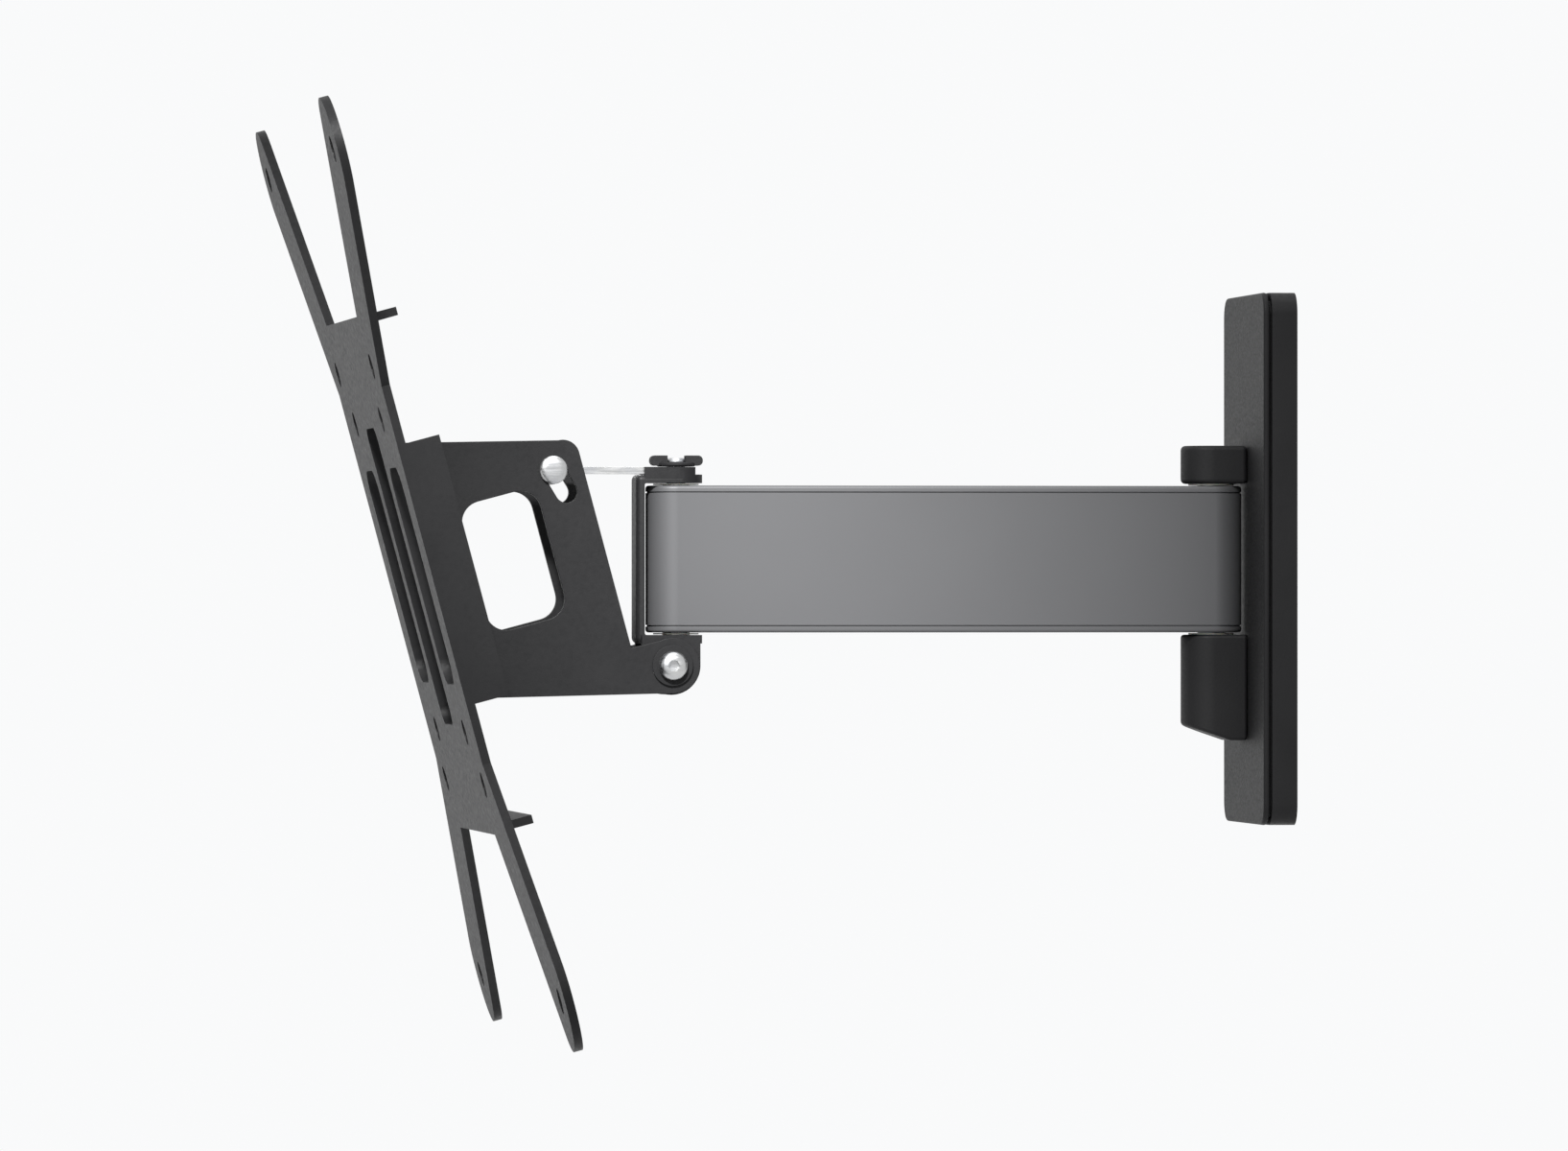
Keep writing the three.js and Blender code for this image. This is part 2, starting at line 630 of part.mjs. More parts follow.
function plateRivetHoles() {
  return plateRivets.map((xz) => rod('y', RIVET_RADIUS + FIT, plateFront, 0, xz, 16));
}

function tiltBracket() {
  const cheeks = [-cheekOuter, cheekInner].map((x) => slab('x', cheekOutline(), x, x + SHEET));
  const web = block([-cheekOuter, webPlateFront, webLow], [cheekOuter, webPlateBack, webHigh]);
  const slotRadius = STRAP_PIN_RADIUS + STRAP_PIN_PLAY;
  const slotEnds = [PIN_ANGLE_UPRIGHT, PIN_ANGLE_UPRIGHT + TILT_REST].map(pinPlace);
  const slot = slab('x', capsule(...slotEnds, slotRadius), -cheekOuter - 1, cheekOuter + 1);
  const windowShape = roundedRect([webPlateBack + 7, webLow + 13], [cheekRear - 12, webHigh - 18], 5);
  return cut(
    join(...cheeks, web),
    slot,
    slab('x', windowShape, -cheekOuter - 1, cheekOuter + 1),
    rod('x', TILT_BOLT_RADIUS + FIT, -cheekOuter - 1, cheekOuter + 1, [0, 0]),
    ...plateRivetHoles(),
  );
}

function centredRect(halfX, halfZ, radius) {
  return roundedRect([-halfX, SCREEN_UP - halfZ], [halfX, SCREEN_UP + halfZ], radius);
}

function screenPlate() {
  const half = SCREEN_CORE / 2;
  const tip = VESA_SPANS.at(-1) / 2;
  const root = half - SCREEN_ARM_RADIUS;
  const core = slab('y', centredRect(half, half, SCREEN_CORNER), plateFront, plateBack);
  const arms = [];
  const holes = [];
  for (const x of [-1, 1]) {
    for (const z of [-1, 1]) {
      const start = [x * root, SCREEN_UP + z * root];
      const end = [x * tip, SCREEN_UP + z * tip];
      arms.push(slab('y', capsule(start, end, SCREEN_ARM_RADIUS), plateFront, plateBack));
      for (const span of VESA_SPANS) {
        const place = [x * span / 2, SCREEN_UP + z * span / 2];
        holes.push(rod('y', VESA_HOLE_RADIUS, plateFront - 1, plateBack + 1, place, 16));
      }
    }
  }
  const lipBack = plateBack + SCREEN_LIP;
  const lips = [];
  for (const side of [-1, 1]) {
    const edges = [side * half, side * (half - SHEET)].sort((a, b) => a - b);
    lips.push(block([-0.62 * half, plateFront, SCREEN_UP + edges[0]],
      [0.62 * half, lipBack, SCREEN_UP + edges[1]]));
    lips.push(block([edges[0], plateFront, SCREEN_UP - 0.5 * half],
      [edges[1], lipBack, SCREEN_UP + 0.5 * half]));
  }
  const pocketX = cheekOuter + 1.5;
  const pocketZ = RECESS_HEIGHT / 2 - SHEET;
  const dish = slab('y', centredRect(pocketX + SHEET, pocketZ + SHEET, 6), plateFront, recessBack);
  const pocket = slab('y', centredRect(pocketX, pocketZ, 4), plateFront - 1, recessBack - SHEET);
  const windows = [-1, 1].map((side) => {
    const near = side * (pocketX + SHEET + 6);
    const far = side * (half - 15);
    const low = [Math.min(near, far), SCREEN_UP - 0.42 * half];
    const high = [Math.max(near, far), SCREEN_UP + 0.42 * half];
    return slab('y', roundedRect(low, high, 6), plateFront - 1, plateBack + 1);
  });
  return cut(join(core, ...arms, ...lips, dish), pocket, ...windows, ...holes, ...plateRivetHoles());
}

function plateRivet(xz) {
  const frontSeat = recessBack - SHEET - GAP;
  const backSeat = webPlateBack + GAP;
  return join(
    rod('y', RIVET_RADIUS, frontSeat - 0.5, backSeat + 0.5, xz, 16),
    rod('y', PLATE_RIVET_HEAD, frontSeat - RIVET_HEAD_HEIGHT, frontSeat, xz, 16),
    rod('y', PLATE_RIVET_HEAD, backSeat, backSeat + RIVET_HEAD_HEIGHT, xz, 16),
  );
}

// ---- Assembly ----

function addPiece(parent, name, solid, finish) {
  const mesh = new THREE.Mesh(geometryOf(solid), new THREE.MeshStandardMaterial(finish));
  mesh.name = name;
  parent.add(mesh);
}

const mount = new THREE.Group();
const wallSide = new THREE.Group();
const arm = new THREE.Group();
const head = new THREE.Group();
const tilting = new THREE.Group();
tilting.position.set(0, tiltY, tiltZ);
tilting.rotation.x = TILT_REST;
mount.add(wallSide, arm, head, tilting);

addPiece(wallSide, 'wall_plate', wallPlate(), paint);
addPiece(wallSide, 'wall_cover', wallCover(), abs);
addPiece(wallSide, 'wall_fork', wallFork(), paint);
forkRivets.forEach((place, i) => addPiece(wallSide, `fork_rivet_${i + 1}`, forkRivet(place), zinc));
addPiece(wallSide, 'wall_pivot_bolt', wallPivotBolt(), zinc);
addPiece(wallSide, 'wall_disc_spring', discSpring(), zinc);
addPiece(wallSide, 'wall_pivot_nut', wallPivotNut(), zinc);
addPiece(wallSide, 'wall_washer_upper', frictionWasher(wallPivotY, 1, ARM_TO_EAR), nylon);
addPiece(wallSide, 'wall_washer_lower', frictionWasher(wallPivotY, -1, ARM_TO_EAR), nylon);
addPiece(wallSide, 'upper_hinge_cap', upperHingeCap(), abs);
addPiece(wallSide, 'lower_hinge_cap', lowerHingeCap(), abs);

addPiece(arm, 'arm_beam', armBeam(), armPaint);
addPiece(arm, 'cable_cover', cableCover(), abs);
for (const [end, y] of [['rear', wallPivotY], ['front', headPivotY]]) {
  addPiece(arm, `pivot_tube_${end}`, pivotTube(y), zinc);
  addPiece(arm, `bush_${end}_upper`, bush(y, 1), nylon);
  addPiece(arm, `bush_${end}_lower`, bush(y, -1), nylon);
}

addPiece(head, 'swivel_bracket', swivelBracket(), paint);
addPiece(head, 'head_pivot_bolt', headPivotBolt(), zinc);
addPiece(head, 'head_washer_upper', frictionWasher(headPivotY, 1, HEAD_SPACE), nylon);
addPiece(head, 'head_washer_lower', frictionWasher(headPivotY, -1, HEAD_SPACE), nylon);
addPiece(head, 'tilt_bolt', tiltBolt(), zinc);
addPiece(head, 'tilt_nut', tiltNut(), zinc);
addPiece(head, 'tilt_spacer', tiltSpacer(), zinc);
for (const [side, sign] of [['left', -1], ['right', 1]]) {
  addPiece(head, `tilt_washer_inner_${side}`, tiltWasher(sign, lugOuter + GAP), nylon);
  addPiece(head, `tilt_washer_outer_${side}`, tiltWasher(sign, cheekOuter + GAP), abs);
}
addPiece(head, 'tilt_strap', tiltStrap(), zinc);
addPiece(head, 'strap_pin', strapPin(), zinc);
addPiece(head, 'strap_clip', strapClip(), zinc);
addPiece(head, 'thumb_nut', thumbNut(), abs);

addPiece(tilting, 'tilt_bracket', tiltBracket(), paint);
addPiece(tilting, 'screen_plate', screenPlate(), paint);
plateRivets.forEach((place, i) => addPiece(tilting, `plate_rivet_${i + 1}`, plateRivet(place), zinc));

export default mount;
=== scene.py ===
"""Full motion wall mount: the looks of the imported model, its studio and its camera."""

import json
import math

import bmesh
import bpy
from mathutils import Matrix, Vector


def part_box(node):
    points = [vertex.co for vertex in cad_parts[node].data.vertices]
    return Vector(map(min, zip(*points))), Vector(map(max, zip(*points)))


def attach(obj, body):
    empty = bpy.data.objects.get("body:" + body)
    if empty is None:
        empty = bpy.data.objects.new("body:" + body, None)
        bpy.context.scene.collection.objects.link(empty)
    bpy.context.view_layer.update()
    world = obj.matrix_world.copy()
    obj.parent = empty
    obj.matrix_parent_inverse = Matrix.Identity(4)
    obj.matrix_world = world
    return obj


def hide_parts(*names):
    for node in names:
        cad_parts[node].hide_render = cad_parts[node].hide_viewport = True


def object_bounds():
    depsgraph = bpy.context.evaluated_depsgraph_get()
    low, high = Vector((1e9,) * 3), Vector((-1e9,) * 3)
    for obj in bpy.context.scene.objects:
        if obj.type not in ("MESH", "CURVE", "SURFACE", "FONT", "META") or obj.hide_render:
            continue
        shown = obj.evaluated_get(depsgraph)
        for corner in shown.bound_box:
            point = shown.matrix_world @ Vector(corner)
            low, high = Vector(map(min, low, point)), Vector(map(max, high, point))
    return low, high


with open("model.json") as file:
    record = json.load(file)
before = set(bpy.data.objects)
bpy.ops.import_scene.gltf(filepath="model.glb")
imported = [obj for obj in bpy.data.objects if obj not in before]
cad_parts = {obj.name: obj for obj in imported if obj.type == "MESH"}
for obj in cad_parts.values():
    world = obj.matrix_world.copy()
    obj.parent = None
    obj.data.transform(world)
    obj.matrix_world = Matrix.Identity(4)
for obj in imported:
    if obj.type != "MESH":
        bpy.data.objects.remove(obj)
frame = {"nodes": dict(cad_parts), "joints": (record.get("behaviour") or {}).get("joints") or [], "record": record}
cad_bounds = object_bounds()

# ---- Sizes, in metres, that the frame's boxes don't give directly ----

MM = 0.001  # on its own, how far a cutting tool reaches past a face
GAP = 0.15 * MM  # between flat faces that rest on each other
FIT = 0.3 * MM  # round a pin, rivet or tube in its hole
SHEET = 2.0 * MM  # folded steel of the head, the tilt bracket and the screen plate
PIVOT_RADIUS = 3.25 * MM
RIVET_RADIUS = 2.0 * MM
STUD_RADIUS = 2.5 * MM
PIN_RADIUS = 2.0 * MM
PIN_PLAY = 0.6 * MM
TILT = math.radians(15)
PIN_ANGLE = math.radians(16.5)
ROUND = 64  # sides of a small round piece
TINY = 1e-7  # lengths below this count as nothing
SHARP = math.radians(38)  # edges that turn by more than this are rounded


def joint(name):
    return next(j for j in frame["joints"] if j["name"] == name)


WALL_PIVOT = Vector(joint("wall_swivel")["pos_m"])
HEAD_PIVOT = Vector(joint("head_swivel")["pos_m"])
TILT_PIVOT = Vector(joint("tilt")["pos_m"])
TILTED = Matrix.Translation(TILT_PIVOT) @ Matrix.Rotation(TILT, 4, "X")


# ---- Outlines: lists of (u, v) points, anticlockwise ----


def arc(centre, radius, start, end, steps=16):
    """Points on an arc, angles in degrees."""
    turns = [math.radians(start + (end - start) * i / steps) for i in range(steps + 1)]
    return [(centre[0] + radius * math.cos(a), centre[1] + radius * math.sin(a)) for a in turns]


def rounded_rect(low, high, radius, steps=10):
    (x0, y0), (x1, y1) = low, high
    corners = [((x1 - radius, y0 + radius), -90), ((x1 - radius, y1 - radius), 0),
               ((x0 + radius, y1 - radius), 90), ((x0 + radius, y0 + radius), 180)]
    points = []
    for centre, start in corners:
        points += arc(centre, radius, start, start + 90, steps)
    return points


def capsule(start, end, radius, steps=24):
    angle = math.degrees(math.atan2(end[1] - start[1], end[0] - start[0]))
    return (arc(start, radius, angle + 90, angle + 270, steps)
            + arc(end, radius, angle - 90, angle + 90, steps))


def ear(pivot, root, radius, steps=32):
    """A tongue seen from above, from root to a round end about the pivot."""
    side = 1 if pivot > root else -1
    turn = 0 if side > 0 else 180
    return ([(radius * side, root)] + arc((0, pivot), radius, turn, turn + 180, steps)
            + [(-radius * side, root)])


# ---- Solids ----

# Where an outline's u, v and the extrusion go, for each axis.
AXES = {
    "x": Matrix(((0, 0, 1), (1, 0, 0), (0, 1, 0))),
    "y": Matrix(((1, 0, 0), (0, 0, 1), (0, 1, 0))),
    "z": Matrix.Identity(3),
}


def new_object(name, bm):
    mesh = bpy.data.meshes.new(name)
    bmesh.ops.recalc_face_normals(bm, faces=bm.faces)
    bm.to_mesh(mesh)
    bm.free()
    obj = bpy.data.objects.new(name, mesh)
    bpy.context.scene.collection.objects.link(obj)
    return obj


def prism(axis, outline, low, high):
    """An outline made solid between two values on an axis."""
    bm = bmesh.new()
    clean = [p for i, p in enumerate(outline) if math.dist(p, outline[i - 1]) > TINY]
    base = [bm.verts.new(AXES[axis] @ Vector((u, v, low))) for u, v in clean]
    top = [bm.verts.new(AXES[axis] @ Vector((u, v, high))) for u, v in clean]
    count = len(clean)
    bm.faces.new(base)
    bm.faces.new(top)
    for i in range(count):
        bm.faces.new((base[i], base[(i + 1) % count], top[(i + 1) % count], top[i]))
    return new_object("solid", bm)


def box(low, high):
    outline = [(low[0], low[1]), (high[0], low[1]), (high[0], high[1]), (low[0], high[1])]
    return prism("z", outline, low[2], high[2])


def rod(axis, radius, low, high, centre, sides=ROUND):
    outline = arc(centre, radius, 0, 360 - 360 / sides, sides - 1)
    return prism(axis, outline, low, high)


def turned(axis, profile, centre, sides=ROUND):
    """A round piece from (radius, along) points that start and end on its axis."""
    bm = bmesh.new()
    rings = []
    for radius, along in profile:
        if radius < TINY:
            rings.append([bm.verts.new(AXES[axis] @ Vector((centre[0], centre[1], along)))])
            continue
        points = arc(centre, radius, 0, 360 - 360 / sides, sides - 1)
        rings.append([bm.verts.new(AXES[axis] @ Vector((u, v, along))) for u, v in points])
    for near, far in zip(rings, rings[1:]):
        for i in range(sides):
            j = (i + 1) % sides
            corners = [near[i % len(near)], near[j % len(near)], far[j % len(far)], far[i % len(far)]]
            bm.faces.new(list(dict.fromkeys(corners)))
    return new_object("turned", bm)


def settle(obj):
    """Puts the object's modifiers into its mesh."""
    graph = bpy.context.evaluated_depsgraph_get()
    mesh = bpy.data.meshes.new_from_object(obj.evaluated_get(graph))
    obj.modifiers.clear()
    obj.data = mesh
    return obj


def combine(operation, body, others):
    for other in others:
        modifier = body.modifiers.new("combine", "BOOLEAN")
        modifier.operation = operation
        modifier.solver = "EXACT"
        modifier.object = other
        settle(body)
        bpy.data.objects.remove(other)
    return body


def join(body, *others):
    return combine("UNION", body, others)


def cut(body, *others):
    return combine("DIFFERENCE", body, others)


def soften(obj, width, segments=3):
    """Rounds the edges and shades the flats flat."""
    bevel = obj.modifiers.new("bevel", "BEVEL")
    bevel.width = width
    bevel.segments = segments
    bevel.limit_method = "ANGLE"
    bevel.angle_limit = SHARP
    bevel.use_clamp_overlap = True
    settle(obj)
    obj.data.shade_smooth()
    obj.data.set_sharp_from_angle(angle=SHARP)
    normals = obj.modifiers.new("normals", "WEIGHTED_NORMAL")
    normals.keep_sharp = True
    return obj


# ---- Materials ----


def shader(name, color, roughness, metallic=0.0):
    material = bpy.data.materials.new(name)
    material.use_nodes = True
    surface = material.node_tree.nodes["Principled BSDF"]
    surface.inputs["Base Color"].default_value = (*color, 1)
    surface.inputs["Roughness"].default_value = roughness
    surface.inputs["Metallic"].default_value = metallic
    return material, material.node_tree, surface


NOISE_LOW = 0.3  # most of a noise texture's values are between these two
NOISE_HIGH = 0.7


def noise(tree, scale, detail=4.0, stretch=(1, 1, 1)):
    """Noise in object space, in features per metre."""
    nodes, links = tree.nodes, tree.links
    place = nodes.new("ShaderNodeTexCoord")
    mapping = nodes.new("ShaderNodeMapping")
    mapping.inputs["Scale"].default_value = stretch
    texture = nodes.new("ShaderNodeTexNoise")
    texture.inputs["Scale"].default_value = scale
    texture.inputs["Detail"].default_value = detail
    links.new(place.outputs["Object"], mapping.inputs["Vector"])
    links.new(mapping.outputs["Vector"], texture.inputs["Vector"])
    return texture.outputs["Fac"]


def vary(tree, source, target, low, high):
    """Spreads a texture between two values, or two colours, on a shader socket."""
    if isinstance(low, tuple):
        ramp = tree.nodes.new("ShaderNodeValToRGB")
        ramp.color_ramp.elements[0].position = NOISE_LOW
        ramp.color_ramp.elements[1].position = NOISE_HIGH
        ramp.color_ramp.elements[0].color = (*low, 1)
        ramp.color_ramp.elements[1].color = (*high, 1)
        tree.links.new(source, ramp.inputs["Fac"])
        tree.links.new(ramp.outputs["Color"], target)
        return
    spread = tree.nodes.new("ShaderNodeMapRange")
    spread.inputs["From Min"].default_value = NOISE_LOW
    spread.inputs["From Max"].default_value = NOISE_HIGH
    spread.inputs["To Min"].default_value = low
    spread.inputs["To Max"].default_value = high
    tree.links.new(source, spread.inputs["Value"])
    tree.links.new(spread.outputs["Result"], target)


def relief(tree, surface, sources, distance):
    """Chains height textures of given strengths into the shader's normal."""
    normal = None
    for source, strength in sources:
        bump = tree.nodes.new("ShaderNodeBump")
        bump.inputs["Strength"].default_value = strength
        bump.inputs["Distance"].default_value = distance
        tree.links.new(source, bump.inputs["Height"])
        if normal:
            tree.links.new(normal, bump.inputs["Normal"])
        normal = bump.outputs["Normal"]
    tree.links.new(normal, surface.inputs["Normal"])


def powder_coat():
    """Black powder coat: a fine orange-peel skin over steel."""
    material, tree, surface = shader("powder_coat", (0.0075, 0.0075, 0.008), 0.5)
    surface.inputs["Specular IOR Level"].default_value = 0.16
    peel = noise(tree, 900)
    cloud = noise(tree, 60, 6)
    vary(tree, cloud, surface.inputs["Base Color"], (0.0065, 0.0065, 0.007), (0.009, 0.009, 0.0095))
    vary(tree, peel, surface.inputs["Roughness"], 0.42, 0.58)
    relief(tree, surface, [(peel, 0.22), (noise(tree, 3200, 2), 0.12)], 0.12 * MM)
    return material


def arm_paint():
    """Satin dark grey metallic paint with fine flakes."""
    material, tree, surface = shader("arm_paint", (0.066, 0.0665, 0.069), 0.48, 0.3)
    surface.inputs["Specular IOR Level"].default_value = 0.25
    flakes = noise(tree, 5200, 2)
    cloud = noise(tree, 25, 3)
    vary(tree, cloud, surface.inputs["Base Color"], (0.0645, 0.065, 0.0675), (0.0675, 0.068, 0.0705))
    vary(tree, flakes, surface.inputs["Roughness"], 0.45, 0.52)
    relief(tree, surface, [(noise(tree, 1400), 0.05), (flakes, 0.05)], 0.08 * MM)
    return material


def black_plastic():
    """Black moulding with a fine spark-eroded grain."""
    material, tree, surface = shader("black_plastic", (0.0065, 0.0065, 0.007), 0.55)
    surface.inputs["Specular IOR Level"].default_value = 0.16
    grain = noise(tree, 1800, 3)
    cloud = noise(tree, 45, 5)
    vary(tree, cloud, surface.inputs["Base Color"], (0.0055, 0.0055, 0.006), (0.008, 0.008, 0.0085))
    vary(tree, grain, surface.inputs["Roughness"], 0.48, 0.64)
    relief(tree, surface, [(grain, 0.35)], 0.1 * MM)
    return material


def bright_zinc():
    """Zinc plate: bright, slightly cloudy, with fine rolling lines."""
    material, tree, surface = shader("bright_zinc", (0.44, 0.45, 0.46), 0.3, 1.0)
    cloud = noise(tree, 160, 6)
    lines = noise(tree, 2600, 3, (1, 0.06, 1))
    vary(tree, cloud, surface.inputs["Base Color"], (0.38, 0.39, 0.41), (0.52, 0.52, 0.51))
    vary(tree, lines, surface.inputs["Roughness"], 0.24, 0.38)
    relief(tree, surface, [(lines, 0.1)], 0.05 * MM)
    return material


def nylon():
    """Natural nylon: off-white, waxy, a little translucent."""
    material, tree, surface = shader("nylon", (0.62, 0.6, 0.54), 0.45)
    surface.inputs["Subsurface Weight"].default_value = 0.15
    surface.inputs["Subsurface Scale"].default_value = 1.0 * MM
    cloud = noise(tree, 90, 4)
    vary(tree, cloud, surface.inputs["Base Color"], (0.58, 0.56, 0.5), (0.66, 0.64, 0.58))
    vary(tree, noise(tree, 1500), surface.inputs["Roughness"], 0.4, 0.52)
    return material


FINISHES = {
    "black_powder_coat": powder_coat(),
    "grey_arm_paint": arm_paint(),
    "black_plastic": black_plastic(),
    "bright_zinc": bright_zinc(),
    "nylon": nylon(),
}

SLOTS = {part["node"]: part["material_slot"] for part in frame["record"]["subparts"]}


def stand_for(node, obj, tilted=False):
    """Finishes a piece, gives it its CAD node's body and slot, and shows it instead of the node."""
    body = next(b for b, names in frame["record"]["behaviour"]["bodies"].items() if node in names)
    slot = SLOTS[node]
    obj.name = f"{node}_look"
    obj.data.name = obj.name
    if tilted:
        obj.data.transform(TILTED)
    obj.data.materials.clear()
    obj.data.materials.append(FINISHES[slot])
    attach(obj, body)
    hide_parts(node)


# ---- Wall plate, cover, hinge caps ----

plate_low, plate_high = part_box("wall_plate")
cover_low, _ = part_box("wall_cover")
half_width = plate_high[0]
half_height = plate_high[2]
PLATE_CORNER = 5.0 * MM
MIN_CORNER = 1.0 * MM
TRAY_SHEET = 2.0 * MM
TRAY_RIM = 1.6 * MM
WALL_SLOT_EDGE = 11.5 * MM  # slot centre to the plate's top or bottom edge
WALL_SLOT_SPREAD = 15 * MM  # upper slots, left and right of the centre
WALL_SLOT_HALF = 4 * MM  # slot centre to the centre of a round end
WALL_SLOT_RADIUS = 3 * MM
COVER_SEAM = 0.6 * MM  # shadow line between tray and cover
COVER_SKIRT = 1.2 * MM
CAP_WALL = 1.3 * MM
LOWER_CAP_SLANT = 4 * MM  # rise of its underside towards the tip
ARM_TO_EAR = 1.1 * MM
FORK_SHEET = 3 * MM


def plate_outline(inset):
    corner = max(PLATE_CORNER - inset, MIN_CORNER)
    x, z = half_width - inset, half_height - inset
    return rounded_rect((-x, -z), (x, z), corner, 16)


def make_wall_plate():
    tray = prism("y", plate_outline(0), plate_low[1], 0)
    pocket = prism("y", plate_outline(TRAY_RIM), plate_low[1] - MM, -TRAY_SHEET)
    tools = [pocket]
    slot_z = half_height - WALL_SLOT_EDGE
    for x, z in ((-WALL_SLOT_SPREAD, slot_z), (WALL_SLOT_SPREAD, slot_z), (0, -slot_z)):
        outline = capsule((x - WALL_SLOT_HALF, z), (x + WALL_SLOT_HALF, z), WALL_SLOT_RADIUS)
        tools.append(prism("y", outline, -TRAY_SHEET - MM, MM))
    for number in range(1, 5):
        low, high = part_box(f"fork_rivet_{number}")
        centre = ((low[0] + high[0]) / 2, (low[2] + high[2]) / 2)
        tools.append(rod("y", RIVET_RADIUS + FIT, -TRAY_SHEET - MM, MM, centre))
    return soften(cut(tray, *tools), 0.35 * MM)


upper_cap_low, upper_cap_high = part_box("upper_hinge_cap")
lower_cap_low, lower_cap_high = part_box("lower_hinge_cap")
_, arm_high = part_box("arm_beam")
arm_radius = arm_high[0]
arm_top = arm_high[2]
EAR_LOW = arm_top + ARM_TO_EAR
EAR_HIGH = EAR_LOW + FORK_SHEET
EAR_HALF = arm_radius - CAP_WALL - FIT


def make_wall_cover():
    back = plate_low[1] - COVER_SEAM
    front = soften(prism("y", plate_outline(0), cover_low[1], back), 0.6 * MM, 4)
    front.modifiers.clear()
    inset = TRAY_RIM + FIT
    skirt = cut(
        prism("y", plate_outline(inset), back - MM / 2, -TRAY_SHEET - GAP),
        prism("y", plate_outline(inset + COVER_SKIRT), back - MM, MM),
    )
    windows = []
    for low, high in ((EAR_LOW, EAR_HIGH), (-EAR_HIGH, -EAR_LOW)):
        window_low = (-EAR_HALF - FIT, cover_low[1] - MM, low - FIT)
        windows.append(box(window_low, (EAR_HALF + FIT, 0, high + FIT)))
    return soften(cut(join(front, skirt), *windows), 0.15 * MM, 2)


def make_upper_cap():
    start, top = upper_cap_low[2], upper_cap_high[2]
    root = upper_cap_high[1]
    body = prism("z", ear(WALL_PIVOT.y, root, arm_radius), start, top)
    body = soften(body, 1.1 * MM, 5)
    body.modifiers.clear()
    hollow = prism("z", ear(WALL_PIVOT.y, root + MM, arm_radius - CAP_WALL), start - MM, top - CAP_WALL)
    return soften(cut(body, hollow), 0.2 * MM, 2)


def make_lower_cap():
    start, bottom = lower_cap_high[2], lower_cap_low[2]
    root = lower_cap_high[1]
    tip = WALL_PIVOT.y - arm_radius - MM
    knee = WALL_PIVOT.y + arm_radius / 2

    def slant(drop, rear):
        return [(rear, start + MM), (tip, start + MM), (tip, bottom + drop + LOWER_CAP_SLANT),
                (knee, bottom + drop), (rear, bottom + drop)]

    body = prism("z", ear(WALL_PIVOT.y, root, arm_radius), bottom - 5 * MM, start)
    combine("INTERSECT", body, [prism("x", slant(0, MM), -arm_radius - MM, arm_radius + MM)])
    body = soften(body, 0.8 * MM, 4)
    body.modifiers.clear()
    hollow = prism("z", ear(WALL_PIVOT.y, root + MM, arm_radius - CAP_WALL), bottom - 5 * MM, start + MM)
    inner = prism("x", slant(CAP_WALL, 2 * MM), -arm_radius, arm_radius)
    combine("INTERSECT", hollow, [inner])
    return soften(cut(body, hollow), 0.2 * MM, 2)


stand_for("wall_plate", make_wall_plate())
stand_for("wall_cover", make_wall_cover())
stand_for("upper_hinge_cap", make_upper_cap())
stand_for("lower_hinge_cap", make_lower_cap())


# ---- Arm ----

ARM_SHEET = 1.5 * MM
GROOVE = 0.35 * MM  # the side skins' shadow line, near the top and bottom edges
GROOVE_EDGE = 1.4 * MM


def arm_outline(radius):
    return capsule((0, HEAD_PIVOT.y), (0, WALL_PIVOT.y), radius, 40)


def make_arm():
    body = soften(prism("z", arm_outline(arm_radius), -arm_top, arm_top), 0.7 * MM, 4)
    body.modifiers.clear()
    tools = [prism("z", arm_outline(arm_radius - ARM_SHEET), -arm_top - MM, arm_top - ARM_SHEET)]
    for y in (WALL_PIVOT.y, HEAD_PIVOT.y):
        tools.append(rod("z", PIVOT_RADIUS + FIT, 0, arm_top + MM, (0, y)))
    for z in (arm_top - GROOVE_EDGE - GROOVE, -arm_top + GROOVE_EDGE):
        ring = prism("z", arm_outline(arm_radius + MM), z, z + GROOVE)
        core = prism("z", arm_outline(arm_radius - GROOVE), z - MM, z + MM)
        tools.append(cut(ring, core))
    return soften(cut(body, *tools), 0.12 * MM, 2)


stand_for("arm_beam", make_arm())


# ---- Swivel head ----

bracket_low, bracket_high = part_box("swivel_bracket")
strap_low, strap_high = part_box("tilt_strap")
nut_low, nut_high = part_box("thumb_nut")
bolt_low, bolt_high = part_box("tilt_bolt")
pin_low, pin_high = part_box("strap_pin")
WEB_CLEARANCE = 0.8 * MM  # arm's round end to the bracket's web
SHELF_INSET = 0.4 * MM  # shelf between the lugs, inside their outer faces
BOLT_HEAD_RADIUS = 5 * MM
THREAD_PITCH = 0.8 * MM
THREAD_END = 0.8  # of the radius, at a chamfered end
THREAD_ROOT = 0.86  # of the radius, between two crests
NUT_BASE_HEIGHT = 1.0 * MM
# Radius and rise of the nut's base, from its foot up
NUT_BASE = ((4.3 * MM, 0), (4.65 * MM, 0.3 * MM), (4.65 * MM, 0.7 * MM), (4.2 * MM, NUT_BASE_HEIGHT))
NUT_WING_START = 1.2 * MM  # from the stud's axis
NUT_WING_HALF = 1.8 * MM  # half a wing's thickness
NUT_WING_CORNER = 1.1 * MM
TILT_HEAD_HEIGHT = 2.6 * MM
TILT_BOLT_RADIUS = 2.5 * MM
SOCKET_SHARE = 0.42  # of the head's radius
